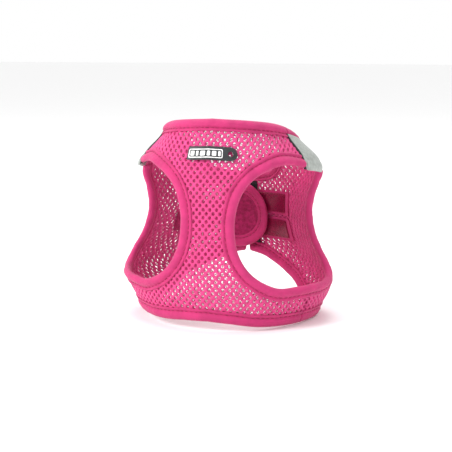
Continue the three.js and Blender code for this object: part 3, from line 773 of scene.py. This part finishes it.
def mesh_panel(name, low_limit, high_limit, middle=0.0, shift=0.0, top=None):
    """Air mesh between two limits on the angle, which depend on the height share."""
    rows = np.arange(int(-6 / row_pitch), int(132 / row_pitch))
    columns = np.arange(-50, 51)
    row, column = np.meshgrid(rows, columns, indexing="ij")
    u = (column + 0.5 * (row % 2)) * hole_pitch + shift
    z = row * row_pitch + shift / 2
    angle = angle_at(u, z)
    share = share_at(angle, z)
    height = panel_height(angle)
    keep = (share * height > cover - hem_drop) & ((share - 1) * height < binding_width - cover)
    keep &= (angle > low_limit(share)) & (angle < high_limit(share)) & ~in_leg_hole(angle, share)
    if top is not None:
        keep &= share < top
    centres = np.stack([u[keep], z[keep]], axis=1)
    count = len(centres)
    outer = (centres[:, None, :] + cell_ring[None]).reshape(-1, 2)
    keys = np.round(outer * 500).astype(int)
    _, first, shared = np.unique(keys, axis=0, return_index=True, return_inverse=True)
    outer = outer[first]
    shared = shared.reshape(count, cell_sides)
    near = (centres[:, None, :] + rim_scale * hole_ring[None]).reshape(-1, 2)
    hole = (centres[:, None, :] + hole_ring[None]).reshape(-1, 2)
    flat = np.concatenate([outer, outer, near, near, hole, hole])
    raised = strand_height + 0.12 * np.sin(outer[:, 0] * 2.9) * np.sin(outer[:, 1] * 1.7)
    out = np.concatenate([
        raised, -raised, np.full(len(near), rim_height), np.full(len(near), -rim_height),
        np.full(len(hole), wall_height), np.full(len(hole), -wall_height),
    ])
    angle = angle_at(flat[:, 0], flat[:, 1])
    share = share_at(angle, flat[:, 1])
    angle = np.clip(angle, low_limit(share), high_limit(share))
    points = on_body(angle, share_at(angle, flat[:, 1]), middle + out)

    own = np.arange(count * cell_sides).reshape(count, cell_sides)
    bases = np.cumsum([0, len(outer), len(outer), len(near), len(near), len(hole)])
    faces = []
    rings = {
        1: (bases[0] + shared, bases[2] + own, bases[4] + own),
        -1: (bases[1] + shared, bases[3] + own, bases[5] + own),
    }
    for ring in rings.values():
        for a, b in zip(ring, ring[1:]):
            faces.append(np.stack([a, np.roll(a, -1, 1), np.roll(b, -1, 1), b], axis=-1).reshape(-1, 4))
    top_hole, low_hole = rings[1][2], rings[-1][2]
    wall = [top_hole, np.roll(top_hole, -1, 1), np.roll(low_hole, -1, 1), low_hole]
    faces.append(np.stack(wall, axis=-1).reshape(-1, 4))
    ends = np.stack([shared, np.roll(shared, -1, 1)], axis=-1).reshape(-1, 2)
    _, first, uses = np.unique(np.sort(ends, axis=1), axis=0, return_index=True, return_counts=True)
    rim = ends[first[uses == 1]]
    faces.append(np.stack([rim[:, 0], rim[:, 1], rim[:, 1] + bases[1], rim[:, 0] + bases[1]], axis=-1))
    piece = Piece(name)
    piece.take(points, flat, np.concatenate(faces).tolist())
    made = piece.finish([pink_mesh])
    strands = Piece(f"{name}_filaments")
    cross_holes(strands, centres, middle)
    strands = strands.finish([pink_filament_painted_shade])
    cut_area = count * hole_pitch * row_pitch / 1e6
    return made, strands, cut_area


def cross_holes(piece, centres, middle):
    """Filaments that cross each hole between the mesh's two faces, in uneven directions."""
    random = np.random.default_rng(7)
    reach = 1.02 * hole_half_height
    turn = np.arange(3) * 2 * math.pi / 3
    for _ in range(filaments):
        count = len(centres)
        lean = random.uniform(0, math.pi, count)
        aside = random.uniform(-0.75, 0.75, count) * hole_half_width
        depth = random.uniform(-0.5, 0.0, count)
        half = np.sqrt(np.maximum(reach**2 - aside**2, 0.09))
        direction = np.stack([np.cos(lean), np.sin(lean)], axis=1)
        normal = np.stack([-direction[:, 1], direction[:, 0]], axis=1)
        start = centres + normal * aside[:, None] - direction * half[:, None]
        end = centres + normal * aside[:, None] + direction * half[:, None]
        ends = np.stack([start, end], axis=1)[:, :, None, :]
        flat = ends + filament_radius * np.cos(turn)[:, None] * normal[:, None, None, :]
        out = depth[:, None, None] + filament_radius * np.sin(turn)[None, None, :]
        flat = flat.reshape(-1, 2)
        out = np.broadcast_to(out, (count, 2, 3)).reshape(-1)
        angle = angle_at(flat[:, 0], flat[:, 1])
        points = on_body(angle, share_at(angle, flat[:, 1]), middle + out)
        first = np.arange(count)[:, None] * 6
        faces = []
        for i in range(3):
            j = (i + 1) % 3
            faces += (first + np.array([[i, j, 3 + j, 3 + i]])).tolist()
        faces += (first + np.array([[0, 1, 2]])).tolist() + (first + np.array([[3, 4, 5]])).tolist()
        piece.take(points, flat, faces)


chest, chest_strands, chest_area = mesh_panel(
    "chest_mesh",
    lambda share: -side_limit(share, shoulder_angle),
    lambda share: side_limit(share, shoulder_angle),
)
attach(chest, "chest")
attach(chest_strands, "chest")
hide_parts("chest_panel")

seam_layer_angle = 79  # where the second layer of mesh behind the side seam ends


def wing_limits(side, start, end):
    if side > 0:
        return start, end
    return (lambda share: -end(share)), (lambda share: -start(share))


for side in (1, -1):
    name = name_of[side]
    wing_cloth, wing_strands, wing_area = mesh_panel(
        f"{name}_wing_mesh",
        *wing_limits(
            side,
            lambda share: side_limit(share, wing_top_angle),
            lambda share: np.full(np.shape(share), panel_back_angle),
        ),
    )
    turn_at_seam(wing_cloth, side)
    turn_at_seam(wing_strands, side)
    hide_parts(f"{name}_wing_panel")
    seam_cloth, seam_strands, seam_area = mesh_panel(
        f"{name}_seam_mesh",
        *wing_limits(
            side,
            lambda share: np.full(np.shape(share), float(seam_angle)),
            lambda share: np.full(np.shape(share), float(seam_layer_angle)),
        ),
        middle=-1.7,
        shift=half_pitch / 2,
        top=0.3,
    )
    turn_at_seam(seam_cloth, side)
    turn_at_seam(seam_strands, side)


# ---- Shoulder straps of reflective tape ----
strap_low = leg_stations[-1][1] + 0.006
strap_thickness = 1.8


def strap_place(side):
    """Flat coordinates of a strap: u in degrees past the shoulder angle, v in height share."""
    def place(u, v, out):
        return on_body(side * (shoulder_angle + u), v, out)
    return place


def ribbon_section(low, high, thickness, edge=0.5):
    """A closed flat section (across, out) with round edges."""
    half = thickness / 2
    top = [(high, 0.0), (high - 0.15 * edge, 0.6 * half), (high - edge, half)]
    top += [(s, half) for s in np.linspace(high - edge, low + edge, 6)[1:-1]]
    top += [(low + edge, half), (low + 0.15 * edge, 0.6 * half), (low, 0.0)]
    under = [(s, -h) for s, h in reversed(top[1:-1])]
    return np.array(top + under)


for side in (1, -1):
    name = name_of[side]
    span = wing_top_angle - shoulder_angle
    place = strap_place(side)
    top_share = 1 + 2 / panel_height(side * (shoulder_angle + span / 2))
    piece = Piece(f"{name}_reflective_strap")
    section = ribbon_section(-0.4, span + 0.4, strap_thickness, edge=0.8)
    heights = np.linspace(strap_low - 0.012, top_share, 40)
    bulge = 0.35 * np.sin(np.linspace(0, 3.1, 40))[:, None] + 0.9
    points = place(section[None, :, 0], heights[:, None], section[None, :, 1] + bulge)
    flats = flat_pairs(heights[:, None] * 110, section[None, :, 0])
    piece.tube(points, flats)
    # The strap's lower end is folded back on itself and held by a bar of stitches.
    fold = ribbon_section(0.6, span - 0.4, 1.6, edge=0.8)
    fold_heights = np.linspace(strap_low - 0.016, strap_low + 0.045, 12)
    rise = 2.1 - 0.5 * np.linspace(-1, 1, 12)[:, None] ** 2
    points = place(fold[None, :, 0], fold_heights[:, None], fold[None, :, 1] + rise)
    flats = flat_pairs(fold_heights[:, None] * 110, fold[None, :, 0])
    piece.tube(points, flats)
    # A black edge cord runs down the front of the strap.
    cord_turn = np.arange(8) * math.pi / 4
    cord_u = -0.9 + 0.85 * np.cos(cord_turn)
    cord_out = 0.9 + 0.85 * np.sin(cord_turn)
    points = place(cord_u[None, :], heights[:, None], cord_out[None, :])
    flats = flat_pairs(heights[:, None] * 110, cord_u[None, :])
    piece.tube(points, flats, 1)
    for share in (strap_low + 0.018, strap_low + 0.03):
        bar_tack = [(3, share), (span - 3, share)]
        stitches(piece, place, bar_tack, 2, pitch=1.9, length=1.3, size=0.0035)
    made = piece.finish([grey_tape, black_web, pink_thread_painted_shade], smooth_angle=50)
    turn_at_seam(made, side, angle=shoulder_angle, share=0.9, reach=6)
    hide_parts(f"{name}_shoulder_strap")


# ---- Rubber label ----
label_middle = 2.5  # degrees
label_share = 0.886
label_half_length = 14.8
label_half_height = 4.0
label_inside = panel_thickness / 2 + 0.4
label_thickness = 1.4
label_degree = math.radians(1) * float(radius(0.0, label_share))
print_end = 6.2  # the print's right end, from the label's middle


def label_place(base):
    def place(u, v, out):
        angle = label_middle + u / label_degree
        return on_body(angle, label_share + v / panel_height(angle), base + out)
    return place


def tongue_outline(steps=10):
    """The label's outline: square with small corners on the left, a round tongue on the right."""
    points = []
    for turn in np.radians(np.linspace(-90, 90, steps)):
        points.append((
            label_half_length - label_half_height + label_half_height * math.cos(turn),
            label_half_height * math.sin(turn),
        ))
    left = rounded_box(-label_half_length, 0, -label_half_height, label_half_height, 0.9, steps=4)
    return points + [p for p in left if p[0] < -1]


piece = Piece("rubber_label")
tongue_middle = label_half_length - label_half_height
tongue_hole = circle(tongue_middle, 0, 1.55)
rubber_middle = label_inside + label_thickness / 2
flat_patch(piece, [tongue_outline(), tongue_hole], label_thickness, 0.3, label_place(rubber_middle))
rim = circle(tongue_middle, 0, 2.2)
flat_patch(piece, [rim, tongue_hole], 0.5, 0.15, label_place(label_inside + label_thickness + 0.1))
label = piece.finish([black_rubber], smooth_angle=40)
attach(label, "chest")
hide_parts("label_patch")

piece = Piece("label_marks")
on_label = label_place(label_inside + label_thickness + 0.05)
frame_half = 2.6
frame_left = -label_half_length + 0.9
outline = rounded_box(frame_left, print_end, -frame_half, frame_half, 0.8)
inner = rounded_box(frame_left + 0.5, print_end - 0.5, -frame_half + 0.5, frame_half - 0.5, 0.5)
flat_patch(piece, [outline, inner], 0.3, 0.05, on_label)
bar_widths = [2.3, 1.3, 2.8, 1.8, 2.5, 1.4]
bar_gap = (print_end - frame_left - 2.4 - sum(bar_widths)) / (len(bar_widths) - 1)
bar_left = frame_left + 1.2
for bar_width in bar_widths:
    bar = rounded_box(bar_left, bar_left + bar_width, -1.4, 1.4, 0.4)
    flat_patch(piece, [bar], 0.3, 0.05, on_label)
    bar_left += bar_width + bar_gap
marks = piece.finish([white_print], smooth_angle=40)
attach(marks, "chest")
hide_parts("label_print")


# ---- Back closure: hook pads, loop patch and velvet flap ----
def pad_place(base):
    def place(u, v, out):
        return on_back(u, v, base + out)
    return place


def hook_field(piece, low_u, high_u, low_v, high_v, base):
    """Rows of small bent hooks that stand in from a pad towards the body's middle."""
    pitch = 0.85
    us = np.arange(low_u + 0.8, high_u - 0.6, pitch)
    vs = np.arange(low_v + 0.8, high_v - 0.6, pitch)
    us, vs = np.meshgrid(us, vs)
    us = us + 0.2 * np.sin(vs * 7.3)
    lifts = np.array([0.0, 0.35, 0.55])
    leans = np.array([0.0, 0.05, 0.32])
    sizes = np.array([0.16, 0.14, 0.07])
    turn = np.arange(4) * math.pi / 2
    for u, v in zip(us.ravel(), vs.ravel()):
        ring_u = u + leans[:, None] + sizes[:, None] * np.cos(turn)
        ring_v = v + sizes[:, None] * np.sin(turn)
        points = on_back(ring_u, ring_v, base - lifts[:, None])
        piece.tube(points, np.stack([ring_u, ring_v], axis=-1))


hook_near = edge_tape_width + back_gap / 2 + 0.6
pads = {
    "upper_hook_pad": (hook_near, hook_far, 55.5, 68.5),
    "lower_hook_pad": (hook_near, hook_far, 37.5, 50),
}
pad_middle = -(panel_thickness / 2 + 1.5 * clearance + 0.4)
backing_middle = -1.25
for node, (low_u, high_u, low_v, high_v) in pads.items():
    backing = Piece(node.replace("pad", "backing"))
    halo = rounded_box(low_u - 0.5, high_u + 4.0, low_v - 1.8, high_v + 1.8, 2.0)
    flat_patch(backing, [halo], 0.7, 0.2, pad_place(backing_middle))
    backing = backing.finish([pink_tape], smooth_angle=50)
    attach(backing, "right_wing")

    field = Piece(node.replace("pad", "hooks"))
    hook_field(field, low_u, high_u, low_v, high_v, pad_middle - 0.35)
    field = field.finish([hooks])
    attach(field, "right_wing")

    tape = Piece(node.replace("pad", "tape"))
    flat_patch(tape, [rounded_box(low_u, high_u, low_v, high_v, 0.8)], 0.8, 0.2, pad_place(pad_middle))
    seam = rounded_box(low_u + 0.7, high_u - 0.7, low_v + 0.7, high_v - 0.7, 0.6)
    stitches(tape, pad_place(pad_middle), seam, 1, lift=0.4, face=-1)
    tape = tape.finish([hooks, pink_thread_painted_shade], smooth_angle=50)
    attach(tape, "right_wing")
    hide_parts(node)

piece = Piece("loop_tape")
flat_patch(piece, [rounded_box(-56, -24, 42.5, 56, 1.2)], 1.1, 0.3, pad_place(pad_middle))
seam = rounded_box(-55.2, -24.8, 43.3, 55.2, 0.8)
stitches(piece, pad_place(pad_middle), seam, 1, lift=0.55, face=-1)
made = piece.finish([flap_velvet, pink_thread_painted_shade], smooth_angle=50)
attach(made, "left_wing")
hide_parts("loop_patch")

flap_centre = flap_reach - flap_radius
flap_base_part = 0.08  # of the outline's parameter, at each of the base's two ends
flap_roll_share = 0.62  # of the other bindings' thickness


def flap_edge(t, s):
    """The flap's outline moved in by s; t goes from 0 at the top of its base to 1 at the bottom."""
    t, s = np.broadcast_arrays(np.asarray(t, float), np.asarray(s, float))
    turn = np.radians(90 - 180 * np.clip((t - flap_base_part) / (1 - 2 * flap_base_part), 0, 1))
    round_size = flap_radius - s
    way = flap_centre + round_size * np.cos(turn)
    z = flap_height + round_size * np.sin(turn)
    base_share = np.clip(np.minimum(t, 1 - t) / flap_base_part, 0, 1)
    on_base = (t < flap_base_part) | (t > 1 - flap_base_part)
    return np.where(on_base, -flap_base_reach + (way + flap_base_reach) * base_share, way), z


def flap_roll(piece, start, end, size, lift):
    """A flat rolled binding along part of the flap's edge."""
    section = roll_section * np.array([1.0, flap_roll_share * size])

    def place(t, s, out):
        way, z = flap_edge(t, s)
        return on_back(way, z, flap_layer + lift + out)

    ts, along = even_steps(lambda t: place(t, 3.0, 0.0), start, end, section_step)
    across, out = section.T
    end_gap = np.minimum(along, along[-1] - along)
    closing = np.sqrt(1 - (1 - np.clip(end_gap / 1.2, 0.05, 1)) ** 2)[:, None]
    tug = 0.5 + 0.5 * np.cos(2 * math.pi * along / stitch_pitch)[:, None]
    in_groove = np.exp(-((across - groove) / 0.7) ** 2)[None, :]
    waves = ripple(along[:, None] + across, 5.0)
    height = (np.abs(out)[None, :] - 0.2 * tug * in_groove + 0.08 * waves) * closing
    height = np.where(np.abs(out)[None, :] < 0.01, 0, height)
    points = place(ts[:, None], across[None, :], np.sign(out)[None, :] * height)
    girth = np.concatenate([[0], np.cumsum(np.hypot(np.diff(across), np.diff(out)))])
    flats = flat_pairs(along[:, None], girth[None, :])
    piece.tube(points, flats)

    def thread_place(u, v, out):
        return place(np.interp(u, along, ts), v, out)

    line = [(0.5, groove), (along[-1] - 0.5, groove)]
    for face in (1, -1):
        stitches(piece, thread_place, line, 1, lift=flap_roll_share * size, face=face)


piece = Piece("flap_roll")
flap_roll(piece, 0.0, 0.5, 1.0, 0.0)
flap_roll(piece, 0.42, 1.0, 1.04, -0.5)
made = piece.finish([pink_tape, pink_thread_painted_shade])
turn_at_flap(made)
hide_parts("flap_binding")

piece = Piece("velvet_flap")
inset = binding_width - 1.0
flap_outline = [tuple(np.array(flap_edge(t, inset)).tolist()) for t in np.linspace(0, 1, 30)]
flat_patch(piece, [flap_outline], 1.3, 0.3, pad_place(flap_layer))
made = piece.finish([flap_velvet], smooth_angle=60)
turn_at_flap(made)
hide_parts("closure_flap")

# ---- Black webbing folded over the back edges ----
rib_pitch = 1.4  # of the webbing's cross ribs
fold_section = mirrored_loop([
    (8.0, 1.3), (8.1, 1.7), (7.6, 1.95), (6.0, 1.9), (4.0, 1.95), (2.0, 1.95), (0.9, 1.75), (0.2, 1.0),
    (0.0, 0.0),
])
for side in (1, -1):
    name = name_of[side]

    def tape_place(u, v, out, side=side):
        angle = side * back_edge_angle(v)
        return on_body(angle, (u - hem_drop) / panel_height(angle), out)

    length = float(panel_height(side * back_edge_angle(4))) + hem_drop + neck_rise * binding_width
    ts, along = even_steps(lambda t: tape_place(t, 3.0, 0.0), 4.0, length - 4.0, 0.7)
    across, out = fold_section.T
    rib = 1 + 0.03 * np.cos(2 * math.pi * along / rib_pitch)[:, None]
    end_gap = np.minimum(along, along[-1] - along)[:, None]
    flattened = 0.55 + 0.45 * np.clip((end_gap - 3) / 2, 0, 1)
    points = tape_place(ts[:, None], across[None, :], out[None, :] * rib * flattened)
    flats = flat_pairs(along[:, None], across[None, :])
    piece = Piece(f"{name}_edge_webbing")
    piece.tube(points, flats)
    for face in (1, -1):
        stitches(piece, tape_place, [(8.5, 6.6), (length - 8.5, 6.6)], 1, lift=1.95, face=face)
    made = piece.finish([black_web, black_thread], smooth_angle=60)
    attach(made, wing_of[side])
    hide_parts(f"{name}_back_edge_tape")

# ---- Buckle straps and ring keepers ----
webbing_middle = panel_thickness / 2 + clearance + webbing_thickness / 2
buckle_middle = buckle_inner + buckle_thickness / 2
strap_reach = buckle_reach + 1.5 * clearance
start_turn = math.degrees(math.atan(strap_reach / buckle_middle))
start_lift = math.hypot(strap_reach, buckle_middle) - float(radius(180 - start_turn, 0.5))
strap_rise = smooth([(0, start_lift - webbing_middle), (4, 3.2), (8, 0), (12, 0)])
strap_length = 30  # degrees
ring_outside = webbing_middle + webbing_thickness / 2 + 0.8 + 1.2
keeper_arch = smooth([
    (-6, webbing_middle + 1.4), (-3.8, webbing_middle + 1.4), (-2.1, ring_outside + 0.7),
    (0, ring_outside + 2.1),
    (2.1, ring_outside + 0.7), (3.8, webbing_middle + 1.4), (6, webbing_middle + 1.4),
])
keeper_half = 6.5
keeper_thickness = 0.9


def buckle_strap_place(side):
    """u in degrees past the strap's start, v from the buckle's height, out from the strap's middle."""
    def place(u, v, out):
        u, v, out = np.broadcast_arrays(u, v, out)
        turn = start_turn + u
        angle = side * (180 - turn)
        lift = webbing_middle + np.maximum(0, strap_rise(u)) + out
        followed = np.clip(u / 8, 0, 1)[..., None]
        followed = followed**2 * (3 - 2 * followed)
        leaning = on_body(angle, share_at(angle, buckle_height + v), lift)
        upright = on_body(angle, share_at(angle, buckle_height), lift)
        upright[..., 2] = (buckle_height + v + origin[2]) / 1000
        return upright * (1 - followed) + leaning * followed
    return place


def keeper_place(side):
    def place(u, v, out):
        angle = side * back_angle(ring_reach + u)
        return on_body(angle, share_at(angle, buckle_height + v), keeper_arch(u) + out)
    return place


def ribbon(piece, place, us, half_width, thickness):
    """Woven webbing along u, with round selvedges and shallow cross ribs."""
    section = ribbon_section(-half_width, half_width, thickness, edge=0.6)
    rib = 1 + 0.05 * np.cos(2 * math.pi * us / rib_pitch)[:, None]
    points = place(us[:, None], section[None, :, 0], section[None, :, 1] * rib)
    flats = flat_pairs(us[:, None], section[None, :, 0])
    piece.tube(points, flats)


for side in (1, -1):
    name = name_of[side]
    place = buckle_strap_place(side)
    piece = Piece(f"{name}_strap_webbing")
    ribbon(piece, place, np.linspace(-1.2, strap_length, 90), webbing_width / 2, webbing_thickness)
    for corners in (
        [(24.2, -6), (29.2, -6), (29.2, 6), (24.2, 6), (24.2, -6)],
        [(24.2, -6), (29.2, 6)],
        [(24.2, 6), (29.2, -6)],
        [(6.8, -6.2), (12.0, -6.2), (12.0, 6.2), (6.8, 6.2), (6.8, -6.2)],
    ):
        stitches(piece, place, corners, 1, pitch=2.0, length=1.4, size=0.2, lift=0.66)
    made = piece.finish([black_web, black_thread], smooth_angle=60)
    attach(made, wing_of[side])
    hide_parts(f"{name}_buckle_strap")

    piece = Piece(f"{name}_keeper_webbing")
    place = keeper_place(side)
    ribbon(piece, place, np.linspace(-6, 6, 60), keeper_half, keeper_thickness)
    for u in (-5.1, 5.1):
        for offset in (-0.4, 0.4):
            line = [(u + offset, -5.5), (u + offset, 5.5)]
            stitches(piece, place, line, 1, pitch=1.3, length=1.0, size=0.2, lift=0.45)
    made = piece.finish([black_web, black_thread], smooth_angle=60)
    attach(made, wing_of[side])
    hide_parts(f"{name}_ring_keeper")


# ---- Hard parts: copies of the CAD solids with softened edges ----
def softened(node, body, material, slot, name, kind, **settings):
    """A copy of a CAD node with a bevel or a subdivision applied."""
    made = bpy.data.objects.new(name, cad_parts[node].data.copy())
    bpy.context.scene.collection.objects.link(made)
    work = bmesh.new()
    work.from_mesh(made.data)
    bmesh.ops.remove_doubles(work, verts=work.verts, dist=1e-6)
    if kind == "BEVEL":
        bmesh.ops.dissolve_limit(work, angle_limit=0.02, verts=work.verts, edges=work.edges)
    work.to_mesh(made.data)
    work.free()
    modifier = made.modifiers.new("soften", kind)
    for key, value in settings.items():
        setattr(modifier, key, value)
    bpy.context.view_layer.update()
    applied = bpy.data.meshes.new_from_object(made.evaluated_get(bpy.context.evaluated_depsgraph_get()))
    made.modifiers.clear()
    made.data = applied
    made.data.materials.clear()
    made.data.materials.append(material)
    made.data.shade_smooth()
    if kind == "BEVEL":
        made.data.set_sharp_from_angle(angle=math.radians(50))
    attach(made, body)
    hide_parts(node)


bevel = {"width": 0.0005, "segments": 3, "limit_method": "ANGLE", "angle_limit": math.radians(35)}
hard_parts = {
    "buckle_socket": "left_wing", "buckle_plug": "right_wing",
    "upper_latch_arm": "upper_latch", "lower_latch_arm": "lower_latch",
}
for node, body in hard_parts.items():
    softened(node, body, black_plastic, "black_plastic", node.replace("buckle", "release"), "BEVEL", **bevel)
for side in (1, -1):
    node = f"{name_of[side]}_d_ring"
    body = f"{name_of[side]}_ring"
    softened(node, body, ring_steel, "steel", f"{name_of[side]}_leash_ring", "SUBSURF", levels=2)

# ---- Stage, light and camera ----
def plain_material(name, colour, roughness):
    made = bpy.data.materials.new(name)
    made.use_nodes = True
    shader = made.node_tree.nodes["Principled BSDF"]
    shader.inputs["Base Color"].default_value = colour
    shader.inputs["Roughness"].default_value = roughness
    return made


floor_mesh = bpy.data.meshes.new("floor")
floor_half = 6.0
corner_signs = [(-1, -1), (1, -1), (1, 1), (-1, 1)]
floor_mesh.from_pydata([(x * floor_half, y * floor_half, 0) for x, y in corner_signs], [], [(0, 1, 2, 3)])
floor_mesh.materials.append(plain_material("pale_floor", (0.93, 0.93, 0.93, 1), 0.9))
floor = bpy.data.objects.new("floor", floor_mesh)
bpy.context.scene.collection.objects.link(floor)


def area_light(name, place, target, size, power):
    data = bpy.data.lights.new(name, "AREA")
    data.shape = "DISK"
    data.size = size
    data.energy = power
    made = bpy.data.objects.new(name, data)
    made.location = place
    made.rotation_euler = (Vector(target) - Vector(place)).to_track_quat("-Z", "Y").to_euler()
    bpy.context.scene.collection.objects.link(made)


body_middle = Vector(((cad_box[0][0] + cad_box[1][0]) / 2, 0.0, 0.06))
area_light("key", (-0.75, -0.75, 0.7), body_middle, 0.5, 11.0)
area_light("fill", (0.9, -0.7, 0.45), body_middle, 0.7, 1.5)
area_light("top", (-0.1, 0.3, 1.1), body_middle, 0.8, 6.0)

world = bpy.data.worlds.new("studio")
world.use_nodes = True
world.node_tree.nodes["Background"].inputs["Color"].default_value = (1, 1, 1, 1)
world.node_tree.nodes["Background"].inputs["Strength"].default_value = 1.0
bpy.context.scene.world = world
bpy.context.scene.view_settings.view_transform = "Standard"

camera_azimuth = math.radians(14.0)
camera_elevation = math.radians(9.3)
camera_distance = 0.780
camera_aside = -0.00216  # puts the vest a little left of the picture's middle
aim_height = 52  # of the aim point, on the body's own axis

back = Vector((
    math.sin(camera_azimuth) * math.cos(camera_elevation),
    -math.cos(camera_azimuth) * math.cos(camera_elevation),
    math.sin(camera_elevation),
))
right = Vector((math.cos(camera_azimuth), math.sin(camera_azimuth), 0))
aim = Vector(((origin + np.array([0, 0, aim_height])) / 1000).tolist())
camera_data = bpy.data.cameras.new("camera")
camera_data.lens = 94.7  # a long lens
camera_data.sensor_width = 36
camera = bpy.data.objects.new("camera", camera_data)
camera.location = aim + camera_distance * back + camera_aside * right
camera.rotation_euler = (-back).to_track_quat("-Z", "Y").to_euler()
bpy.context.scene.collection.objects.link(camera)
bpy.context.scene.camera = camera
